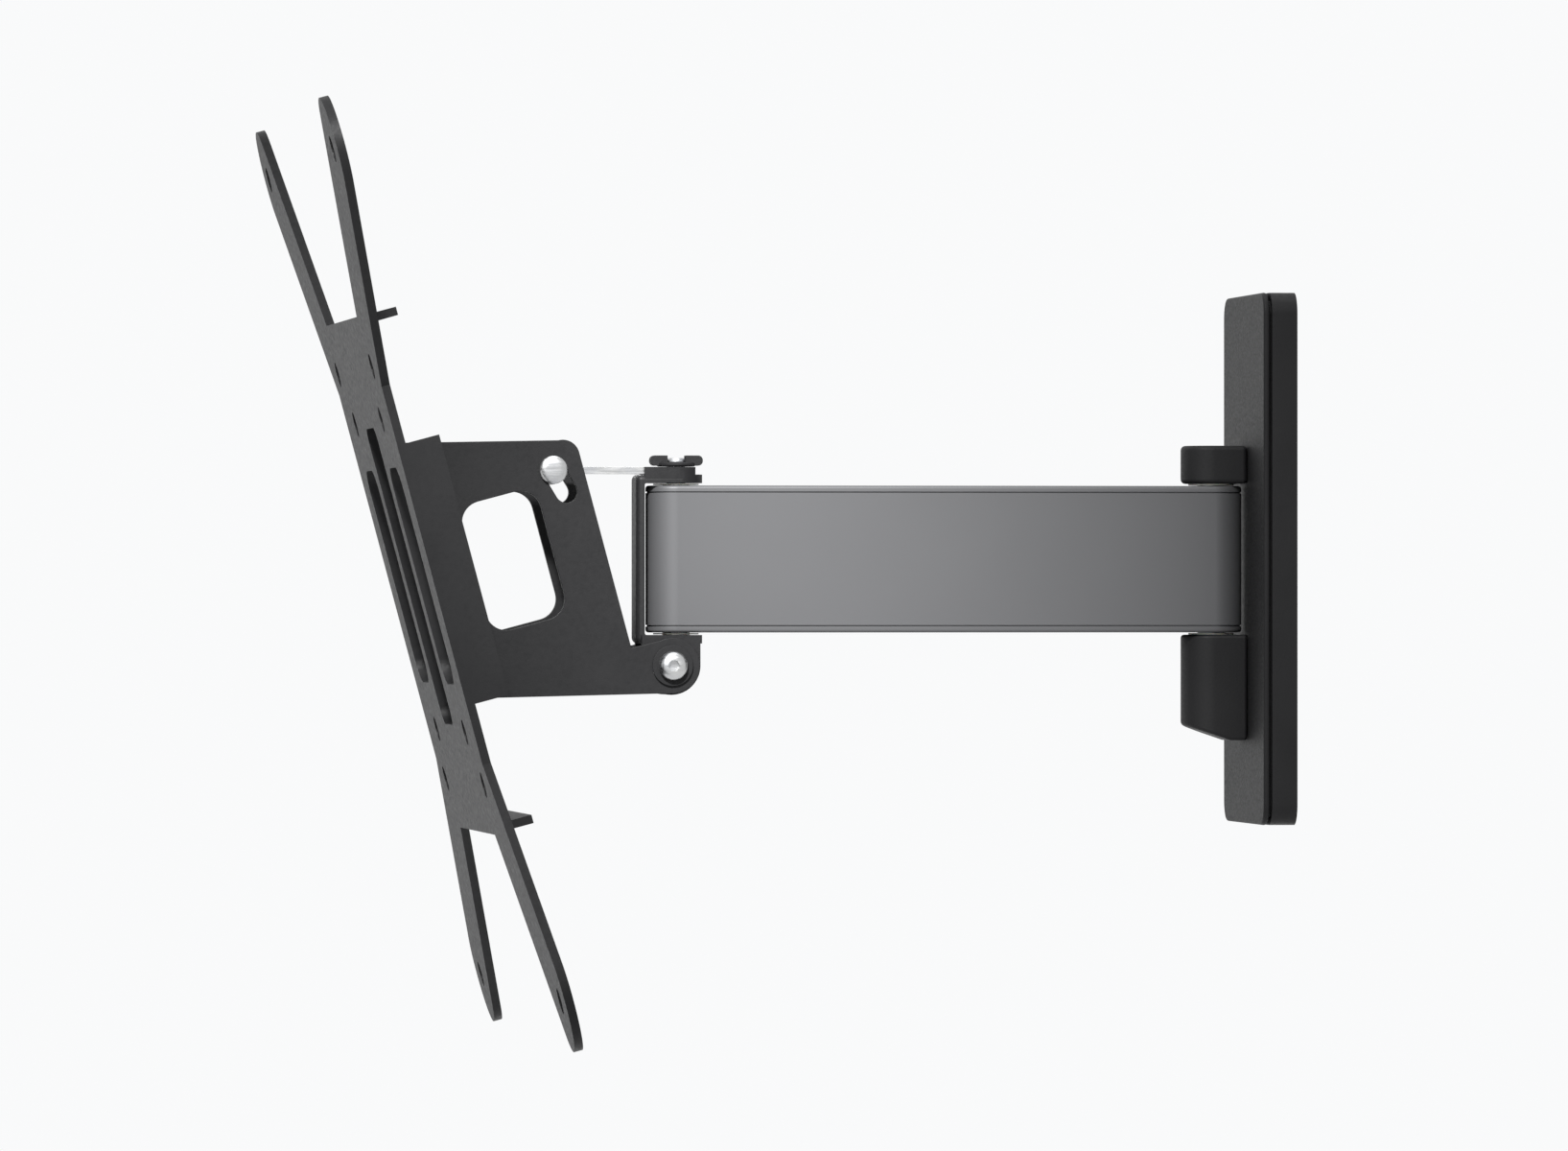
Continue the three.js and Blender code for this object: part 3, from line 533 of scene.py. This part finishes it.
# The turned form that takes the corners off the hexagon nut
CROWN_FOOT = 3.9 * MM
CROWN_FULL = 5.4 * MM
CROWN_TOP = 4.4 * MM
CROWN_FOOT_RISE = 0.9 * MM
CROWN_TOP_DROP = 0.4 * MM
STRAP_SHEET = 1.6 * MM
EAR_RADIUS = bracket_high[1] - HEAD_PIVOT.y
STRAP_LEVEL = (bracket_high[2] - STRAP_SHEET, bracket_high[2])
HEAD_TOP = STRAP_LEVEL[0] - GAP
WEB_BACK = HEAD_PIVOT.y - arm_radius - WEB_CLEARANCE
WEB_FRONT = WEB_BACK - SHEET
LUG_OUTER = bracket_high[0]
LUG_INNER = LUG_OUTER - SHEET
LUG_RADIUS = TILT_PIVOT.z - bracket_low[2]
TILT_AXIS = (TILT_PIVOT.y, TILT_PIVOT.z)
PIN_CENTRE = ((pin_low[1] + pin_high[1]) / 2, (pin_low[2] + pin_high[2]) / 2)
head_axis = (0, HEAD_PIVOT.y)


def make_swivel_bracket():
    tongue = ear(HEAD_PIVOT.y, WEB_FRONT, EAR_RADIUS)
    channel = [(WEB_FRONT, -HEAD_TOP), (bracket_high[1] + MM, -HEAD_TOP),
               (bracket_high[1] + MM, HEAD_TOP), (WEB_FRONT, HEAD_TOP)]
    body = prism("x", channel, -EAR_RADIUS, EAR_RADIUS)
    body = soften(body, 1.4 * MM, 6)
    body.modifiers.clear()
    inner = soften(box((-2 * EAR_RADIUS, WEB_BACK, -HEAD_TOP + SHEET),
                       (2 * EAR_RADIUS, 0, HEAD_TOP - SHEET)), 0.5 * MM, 3)
    inner.modifiers.clear()
    combine("INTERSECT", body, [prism("z", tongue, -2 * HEAD_TOP, 2 * HEAD_TOP)])
    y0, y1 = TILT_PIVOT.y - LUG_RADIUS, TILT_PIVOT.y + LUG_RADIUS
    shelf_half = LUG_OUTER - SHELF_INSET
    shelf = box((-shelf_half, y0, -HEAD_TOP), (shelf_half, y1, -HEAD_TOP + SHEET))
    outline = ([(y0, -HEAD_TOP + SHEET), (y0, TILT_PIVOT.z)]
               + arc(TILT_AXIS, LUG_RADIUS, 180, 360, 32)[1:] + [(y1, -HEAD_TOP + SHEET)])
    lugs = [prism("x", outline, x, x + SHEET) for x in (-LUG_OUTER, LUG_INNER)]
    guide_inner = strap_high[0] + FIT
    guides = prism("z", ear(HEAD_PIVOT.y, WEB_BACK, EAR_RADIUS), HEAD_TOP - SHEET / 2, STRAP_LEVEL[1])
    space = box((-guide_inner, WEB_FRONT, HEAD_TOP), (guide_inner, 0, STRAP_LEVEL[1] + MM))
    body = join(cut(body, inner), shelf, cut(guides, space), *lugs)
    return soften(cut(
        body,
        rod("z", STUD_RADIUS + FIT, 0, STRAP_LEVEL[1] + MM, head_axis),
        rod("z", PIVOT_RADIUS + FIT, -HEAD_TOP - MM, 0, head_axis),
        rod("x", TILT_BOLT_RADIUS + FIT, -LUG_OUTER - MM, LUG_OUTER + MM, TILT_AXIS),
    ), 0.3 * MM, 2)


def threaded(axis, radius, low, high, centre):
    """A rod with thread crests as rings, since the thread's helix can't be seen at this size."""
    profile = [(0, low), (radius * THREAD_END, low)]
    turns = int((high - low) / THREAD_PITCH)
    for i in range(turns):
        start = low + i * THREAD_PITCH
        profile.append((radius * THREAD_ROOT, start + 0.1 * THREAD_PITCH))
        profile.append((radius, start + 0.5 * THREAD_PITCH))
    profile += [(radius * THREAD_END, high), (0, high)]
    return turned(axis, profile, centre, 40)


def make_head_bolt():
    low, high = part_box("head_pivot_bolt")
    seat = -(HEAD_TOP + GAP)
    head = soften(rod("z", BOLT_HEAD_RADIUS, low[2], seat, head_axis), 0.2 * MM)
    head.modifiers.clear()
    pin = rod("z", PIVOT_RADIUS, seat - 0.2 * MM, HEAD_TOP - SHEET - 0.2 * MM, head_axis)
    stud = threaded("z", STUD_RADIUS, HEAD_TOP - SHEET - MM, high[2], head_axis)
    return soften(join(head, pin, stud), 0.05 * MM, 1)


def make_thumb_nut():
    foot = nut_low[2]
    profile = [(0, foot)]
    profile += [(radius, foot + rise) for radius, rise in NUT_BASE]
    profile += [(0, foot + NUT_BASE_HEIGHT)]
    base = turned("z", profile, head_axis)
    wings = []
    reach = nut_high[1] - HEAD_PIVOT.y
    for side in (-1, 1):
        ends = sorted((HEAD_PIVOT.y + side * NUT_WING_START, HEAD_PIVOT.y + side * reach))
        low, high = (ends[0], foot + 0.2 * MM), (ends[1], nut_high[2])
        outline = rounded_rect(low, high, NUT_WING_CORNER, 12)
        wings.append(prism("x", outline, -NUT_WING_HALF, NUT_WING_HALF))
    bore = rod("z", STUD_RADIUS + FIT, foot - MM, nut_high[2] + MM, head_axis)
    return soften(cut(join(base, *wings), bore), 0.35 * MM, 3)


def make_tilt_bolt():
    head_radius = (bolt_high[2] - bolt_low[2]) / 2
    seat = bolt_high[0] - TILT_HEAD_HEIGHT
    dome = [(0, seat), (head_radius * 0.94, seat), (head_radius, seat + 0.3 * MM)]
    for i in range(8):
        angle = math.radians(10 + 10 * i)
        rise = 0.3 + 0.7 * math.sin(angle)
        dome.append((head_radius * math.cos(angle) ** 0.55, seat + rise * TILT_HEAD_HEIGHT))
    dome.append((0, bolt_high[0]))
    head = turned("x", dome, TILT_AXIS)
    socket_floor = seat + TILT_HEAD_HEIGHT / 2
    socket = rod("x", SOCKET_SHARE * head_radius, socket_floor, bolt_high[0] + MM, TILT_AXIS, 6)
    shank = rod("x", TILT_BOLT_RADIUS, -LUG_OUTER, seat + 0.5 * MM, TILT_AXIS)
    thread = threaded("x", TILT_BOLT_RADIUS, bolt_low[0], -LUG_OUTER + 0.5 * MM, TILT_AXIS)
    return soften(join(cut(head, socket), shank, thread), 0.06 * MM, 1)


def make_tilt_nut():
    low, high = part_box("tilt_nut")
    hexagon = rod("x", (high[2] - low[2]) / 2, low[0], high[0], TILT_AXIS, 6)
    profile = [(0, low[0]), (CROWN_FOOT, low[0]), (CROWN_FULL, low[0] + CROWN_FOOT_RISE),
               (CROWN_FULL, high[0] - CROWN_TOP_DROP), (CROWN_TOP, high[0]), (0, high[0])]
    crown = turned("x", profile, TILT_AXIS)
    combine("INTERSECT", hexagon, [crown])
    bore = rod("x", TILT_BOLT_RADIUS + FIT, low[0] - MM, high[0] + MM, TILT_AXIS)
    return soften(cut(hexagon, bore), 0.15 * MM, 2)


def make_ring(node, axis):
    """A washer, with its sizes read from its CAD node. Its bore is the bolt's and a fit."""
    low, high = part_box(node)
    along = "xyz".index(axis)
    radius = (high[2] - low[2]) / 2
    centre = ((low[1] + high[1]) / 2, (low[2] + high[2]) / 2)
    disc = rod(axis, radius, low[along], high[along], centre)
    bore = rod(axis, TILT_BOLT_RADIUS + FIT, low[along] - MM, high[along] + MM, centre)
    return soften(cut(disc, bore), 0.12 * MM, 2)


stand_for("swivel_bracket", make_swivel_bracket())
stand_for("head_pivot_bolt", make_head_bolt())
stand_for("thumb_nut", make_thumb_nut())
stand_for("tilt_bolt", make_tilt_bolt())
stand_for("tilt_nut", make_tilt_nut())
for side_name in ("left", "right"):
    stand_for(f"tilt_washer_inner_{side_name}", make_ring(f"tilt_washer_inner_{side_name}", "x"))
    stand_for(f"tilt_washer_outer_{side_name}", make_ring(f"tilt_washer_outer_{side_name}", "x"))


# ---- Strap ----

STRAP_TRAVEL = joint("strap_slide")["range_m"][1]
STRAP_CORNER = 2.5 * MM
PIN_HEAD_HEIGHT = 1.3 * MM
PIN_CHAMFER = 0.4 * MM
CLIP_MOUTH = 1.2 * MM  # half the clip's opening


def make_strap():
    half = strap_high[0]
    bar_outline = rounded_rect((-half, PIN_CENTRE[0]), (half, strap_high[1]), STRAP_CORNER)
    bar = prism("z", bar_outline, *STRAP_LEVEL)
    eye = rod("x", PIN_CENTRE[0] - strap_low[1], -half, half, PIN_CENTRE)
    slot_ends = ((0, HEAD_PIVOT.y - STRAP_TRAVEL), (0, HEAD_PIVOT.y))
    slot_outline = capsule(*slot_ends, STUD_RADIUS + FIT)
    slot = prism("z", slot_outline, STRAP_LEVEL[0] - MM, STRAP_LEVEL[1] + MM)
    bore = rod("x", PIN_RADIUS + FIT, -half - MM, half + MM, PIN_CENTRE)
    return soften(cut(join(bar, eye), slot, bore), 0.25 * MM, 3)


def make_strap_pin():
    head_radius = (pin_high[2] - pin_low[2]) / 2
    seat = pin_high[0] - PIN_HEAD_HEIGHT
    profile = [(0, pin_low[0]), (PIN_RADIUS - PIN_CHAMFER, pin_low[0]),
               (PIN_RADIUS, pin_low[0] + PIN_CHAMFER),
               (PIN_RADIUS, seat), (head_radius, seat), (head_radius, seat + 0.7 * MM),
               (head_radius * 0.82, seat + 1.15 * MM), (head_radius * 0.5, pin_high[0]),
               (0, pin_high[0])]
    return soften(turned("x", profile, PIN_CENTRE), 0.08 * MM, 2)


def make_clip():
    low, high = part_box("strap_clip")
    disc = rod("x", (high[1] - low[1]) / 2, low[0], high[0], PIN_CENTRE)
    bore = rod("x", PIN_RADIUS + GAP, low[0] - MM, high[0] + MM, PIN_CENTRE)
    mouth = box((low[0] - MM, PIN_CENTRE[0] - CLIP_MOUTH, low[2] - MM),
                (high[0] + MM, PIN_CENTRE[0] + CLIP_MOUTH, PIN_CENTRE[1]))
    return soften(cut(disc, bore, mouth), 0.1 * MM, 2)


stand_for("tilt_strap", make_strap())
stand_for("strap_pin", make_strap_pin())
stand_for("strap_clip", make_clip())


# ---- Tilting part, made upright with the tilt axis at the origin ----

SCREEN_FRONT = -53.5 * MM
SCREEN_UP = 36 * MM
SCREEN_BACK = SCREEN_FRONT + SHEET
RECESS_DEPTH = 3 * MM
RECESS_BACK = SCREEN_BACK + RECESS_DEPTH
WEB_START = RECESS_BACK + GAP
WEB_END = WEB_START + SHEET
WEB_HALF = 31 * MM  # half the web's height
WEB_LOW = SCREEN_UP - WEB_HALF
WEB_HIGH = SCREEN_UP + WEB_HALF
TILT_WASHER = 0.6 * MM
CHEEK_OUTER = bolt_high[0] - TILT_HEAD_HEIGHT - TILT_WASHER - 2 * GAP
CHEEK_INNER = CHEEK_OUTER - SHEET
CHEEK_REAR = WEB_FRONT - TILT_PIVOT.y - FIT
CHEEK_CORNER = 4 * MM
CHEEK_CORNER_DROP = 3.6 * MM  # the corner's centre, below the cheek's top
CHEEK_TOP = 6 * MM  # the cheek above its slot
CHEEK_WINDOW_CORNER = 5 * MM
CHEEK_WINDOW_FRONT = 7 * MM  # from the web's back
CHEEK_WINDOW_REAR = 12 * MM  # from the cheek's rear edge
CHEEK_WINDOW_BELOW = 13 * MM  # from the web's lower end
CHEEK_WINDOW_ABOVE = 18 * MM  # from the web's upper end
WELL_PAST = 20 * MM  # how far a large cutting tool reaches past the piece
HUB_ARC_END = 100.8  # degrees, where the round of the hub ends
HUB_RADIUS = 6.5 * MM
CORE = 62 * MM  # half the square middle's side
CORE_CORNER = 8 * MM
SPOKE_RADIUS = 12 * MM
HOLE_HALF_SPANS = (37.5 * MM, 50 * MM, 100 * MM)  # half the sides of the square hole patterns
SPOKE_REACH = HOLE_HALF_SPANS[-1]
HOLE_RADIUS = 3.1 * MM
LIP = 8 * MM
LIP_SHARE = 0.62  # of the square middle's side, above and below
POCKET_HALF = CHEEK_OUTER + 1.5 * MM
POCKET_HALF_HEIGHT = 36 * MM
POCKET_CORNER = 4 * MM
PLATE_WINDOW_CORNER = 6 * MM
PLATE_WINDOW_INNER = 6 * MM  # from the pocket
PLATE_WINDOW_OUTER = 15 * MM  # from the square middle's edge
WINDOW_SHARE = 0.42  # a plate window's height, of the square middle's side
RIVET_SPREAD = 4.7 * MM
RIVET_RISE = 22 * MM
RIVET_HEAD_HEIGHT = 1.0 * MM
# Radius and rise of a rivet's head, from its crown down
RIVET_HEAD = ((2.6 * MM, RIVET_HEAD_HEIGHT), (3.6 * MM, 0.6 * MM), (4 * MM, 0.1 * MM), (4 * MM, 0))
STRAP_RISE = sum(STRAP_LEVEL) / 2 - TILT_PIVOT.z
RIVETS = [(x * RIVET_SPREAD, SCREEN_UP + z * RIVET_RISE) for x in (-1, 1) for z in (-1, 1)]


def pin_place(angle):
    reach = STRAP_RISE / math.cos(angle)
    return (-reach * math.sin(PIN_ANGLE), reach * math.cos(PIN_ANGLE))


def make_tilt_bracket():
    top = pin_place(PIN_ANGLE + TILT)[1] + CHEEK_TOP
    slope = math.atan2(-WEB_LOW, -WEB_START) - math.asin(HUB_RADIUS / math.hypot(WEB_START, WEB_LOW))
    cheek = [(WEB_START, WEB_LOW)]
    cheek += arc((0, 0), HUB_RADIUS, math.degrees(slope) - 90, HUB_ARC_END, 40)
    cheek += [(CHEEK_REAR, HUB_RADIUS)]
    corner = (CHEEK_REAR - CHEEK_CORNER, top - CHEEK_CORNER_DROP)
    cheek += arc(corner, CHEEK_CORNER, 0, 90, 12)
    cheek += [(WEB_START, WEB_HIGH)]
    hull = prism("x", cheek, -CHEEK_OUTER, CHEEK_OUTER)
    inner = soften(box((-CHEEK_INNER, WEB_END, -WELL_PAST),
                       (CHEEK_INNER, WELL_PAST, WEB_HIGH + WELL_PAST)), 0.8 * MM, 4)
    inner.modifiers.clear()
    slot = capsule(pin_place(PIN_ANGLE), pin_place(PIN_ANGLE + TILT), PIN_RADIUS + PIN_PLAY)
    window = rounded_rect((WEB_END + CHEEK_WINDOW_FRONT, WEB_LOW + CHEEK_WINDOW_BELOW),
                          (CHEEK_REAR - CHEEK_WINDOW_REAR, WEB_HIGH - CHEEK_WINDOW_ABOVE),
                          CHEEK_WINDOW_CORNER)
    reach = CHEEK_OUTER + MM
    tools = [inner, prism("x", slot, -reach, reach), prism("x", window, -reach, reach),
             rod("x", TILT_BOLT_RADIUS + FIT, -reach, reach, (0, 0))]
    tools += [rod("y", RIVET_RADIUS + FIT, SCREEN_FRONT, 0, place) for place in RIVETS]
    return soften(cut(hull, *tools), 0.35 * MM, 3)


def centred(half_x, half_z, radius):
    return rounded_rect((-half_x, SCREEN_UP - half_z), (half_x, SCREEN_UP + half_z), radius, 12)


def make_screen_plate():
    body = prism("y", centred(CORE, CORE, CORE_CORNER), SCREEN_FRONT, SCREEN_BACK)
    added = []
    tools = []
    root = CORE - SPOKE_RADIUS
    for x in (-1, 1):
        for z in (-1, 1):
            start = (x * root, SCREEN_UP + z * root)
            end = (x * SPOKE_REACH, SCREEN_UP + z * SPOKE_REACH)
            added.append(prism("y", capsule(start, end, SPOKE_RADIUS, 32), SCREEN_FRONT, SCREEN_BACK))
            for half_span in HOLE_HALF_SPANS:
                place = (x * half_span, SCREEN_UP + z * half_span)
                tools.append(rod("y", HOLE_RADIUS, SCREEN_FRONT - MM, SCREEN_BACK + MM, place, 48))
    lip_back = SCREEN_BACK + LIP
    for side in (-1, 1):
        near, far = sorted((side * CORE, side * (CORE - SHEET)))
        added.append(box((-LIP_SHARE * CORE, SCREEN_FRONT, SCREEN_UP + near),
                         (LIP_SHARE * CORE, lip_back, SCREEN_UP + far)))
        added.append(box((near, SCREEN_FRONT, SCREEN_UP - CORE / 2),
                         (far, lip_back, SCREEN_UP + CORE / 2)))
    dish = centred(POCKET_HALF + SHEET, POCKET_HALF_HEIGHT + SHEET, POCKET_CORNER + SHEET)
    added.append(prism("y", dish, SCREEN_FRONT, RECESS_BACK))
    hollow = centred(POCKET_HALF, POCKET_HALF_HEIGHT, POCKET_CORNER)
    tools.append(prism("y", hollow, SCREEN_FRONT - MM, RECESS_BACK - SHEET))
    for side in (-1, 1):
        start = POCKET_HALF + SHEET + PLATE_WINDOW_INNER
        near, far = sorted((side * start, side * (CORE - PLATE_WINDOW_OUTER)))
        rise = WINDOW_SHARE * CORE
        window = rounded_rect((near, SCREEN_UP - rise), (far, SCREEN_UP + rise), PLATE_WINDOW_CORNER)
        tools.append(prism("y", window, SCREEN_FRONT - MM, SCREEN_BACK + MM))
    tools += [rod("y", RIVET_RADIUS + FIT, SCREEN_FRONT, 0, place) for place in RIVETS]
    return soften(cut(join(body, *added), *tools), 0.4 * MM, 3)


def make_plate_rivet(place):
    front = RECESS_BACK - SHEET - GAP
    back = WEB_END + GAP
    profile = [(0, front - RIVET_HEAD_HEIGHT)]
    profile += [(radius, front - rise) for radius, rise in RIVET_HEAD]
    profile += [(RIVET_RADIUS, front), (RIVET_RADIUS, back)]
    profile += [(radius, back + rise) for radius, rise in reversed(RIVET_HEAD)]
    profile += [(0, back + RIVET_HEAD_HEIGHT)]
    return soften(turned("y", profile, place, 48), 0.08 * MM, 2)


stand_for("tilt_bracket", make_tilt_bracket(), tilted=True)
stand_for("screen_plate", make_screen_plate(), tilted=True)
for i in range(1, 5):
    low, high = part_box(f"plate_rivet_{i}")
    middle = TILTED.inverted() @ ((Vector(low) + Vector(high)) / 2)
    rivet_place = min(RIVETS, key=lambda place: math.dist(place, (middle.x, middle.z)))
    stand_for(f"plate_rivet_{i}", make_plate_rivet(rivet_place), tilted=True)


# ---- CAD nodes that are shown as they are ----

for node, obj in frame["nodes"].items():
    obj.data.materials.clear()
    obj.data.materials.append(FINISHES[SLOTS[node]])
    bevel = obj.modifiers.new("edge", "BEVEL")
    bevel.width = 0.15 * MM
    bevel.segments = 2
    bevel.limit_method = "ANGLE"
    bevel.angle_limit = math.radians(45)
    obj.modifiers.new("normals", "WEIGHTED_NORMAL")


# ---- Studio ----

CAMERA_DISTANCE = 2.8
CAMERA_AZIMUTH = math.radians(82.6)
CAMERA_DROP = 10 * MM  # the camera is a little below the arm
CAMERA_LENS = 272
FLOOR_DROP = 0.36
FLOOR_REACH = 3.0
SPOT_BACK = 22 * MM  # from the head pivot towards the wall


def aim(obj, target):
    direction = Vector(target) - obj.location
    obj.rotation_euler = direction.to_track_quat("-Z", "Y").to_euler()


def add_camera():
    camera = bpy.data.objects.new("camera", bpy.data.cameras.new("camera"))
    camera.data.lens = CAMERA_LENS
    camera.data.sensor_width = 36
    camera.data.clip_end = 50
    middle = Vector((0, (WALL_PIVOT.y + HEAD_PIVOT.y) / 2, -CAMERA_DROP))
    towards = Vector((math.sin(CAMERA_AZIMUTH), -math.cos(CAMERA_AZIMUTH), 0))
    camera.location = middle + CAMERA_DISTANCE * towards
    low, high = cad_bounds
    aim(camera, (0, (low[1] + high[1]) / 2, (low[2] + high[2]) / 2))
    bpy.context.scene.collection.objects.link(camera)
    bpy.context.scene.camera = camera


def add_light(name, location, target, size, power):
    light = bpy.data.lights.new(name, "AREA")
    light.shape = "RECTANGLE"
    light.size, light.size_y = size
    light.energy = power
    obj = bpy.data.objects.new(name, light)
    obj.location = location
    aim(obj, target)
    bpy.context.scene.collection.objects.link(obj)


def add_spot(name, location, target, power, spread):
    """A soft-edged beam, spread in degrees, that fades along the arm from the head to the wall."""
    light = bpy.data.lights.new(name, "SPOT")
    light.energy = power
    light.spot_size = math.radians(spread)
    light.spot_blend = 1.0
    light.shadow_soft_size = 0.08
    obj = bpy.data.objects.new(name, light)
    obj.location = location
    aim(obj, target)
    bpy.context.scene.collection.objects.link(obj)


def add_floor():
    bm = bmesh.new()
    bmesh.ops.create_grid(bm, x_segments=1, y_segments=1, size=FLOOR_REACH)
    floor = new_object("floor", bm)
    floor.location.z = cad_bounds[0][2] - FLOOR_DROP
    material, _, surface = shader("pale_floor", (0.95, 0.95, 0.95), 0.9)
    surface.inputs["Specular IOR Level"].default_value = 0.1
    floor.data.materials.append(material)


def add_world():
    world = bpy.data.worlds.new("studio")
    world.use_nodes = True
    background = world.node_tree.nodes["Background"]
    background.inputs["Color"].default_value = (0.95, 0.955, 0.96, 1)
    background.inputs["Strength"].default_value = 1.0
    bpy.context.scene.world = world


add_camera()
add_floor()
add_world()
front_end = (0, HEAD_PIVOT.y, 0)
spot_target = (0, HEAD_PIVOT.y + SPOT_BACK, 0)
add_light("key", location=(0.55, -0.62, 0.45), target=front_end, size=(0.5, 0.7), power=1.5)
add_spot("front", location=(1.03, -0.42, 0.75), target=spot_target, power=330, spread=9.5)
add_light("fill", location=(-0.9, -0.9, 0.6), target=front_end, size=(0.9, 0.9), power=1.5)
add_light("top", location=(0.1, -0.1, 1.2), target=front_end, size=(0.8, 0.8), power=5)
bpy.context.scene.view_settings.view_transform = "Standard"
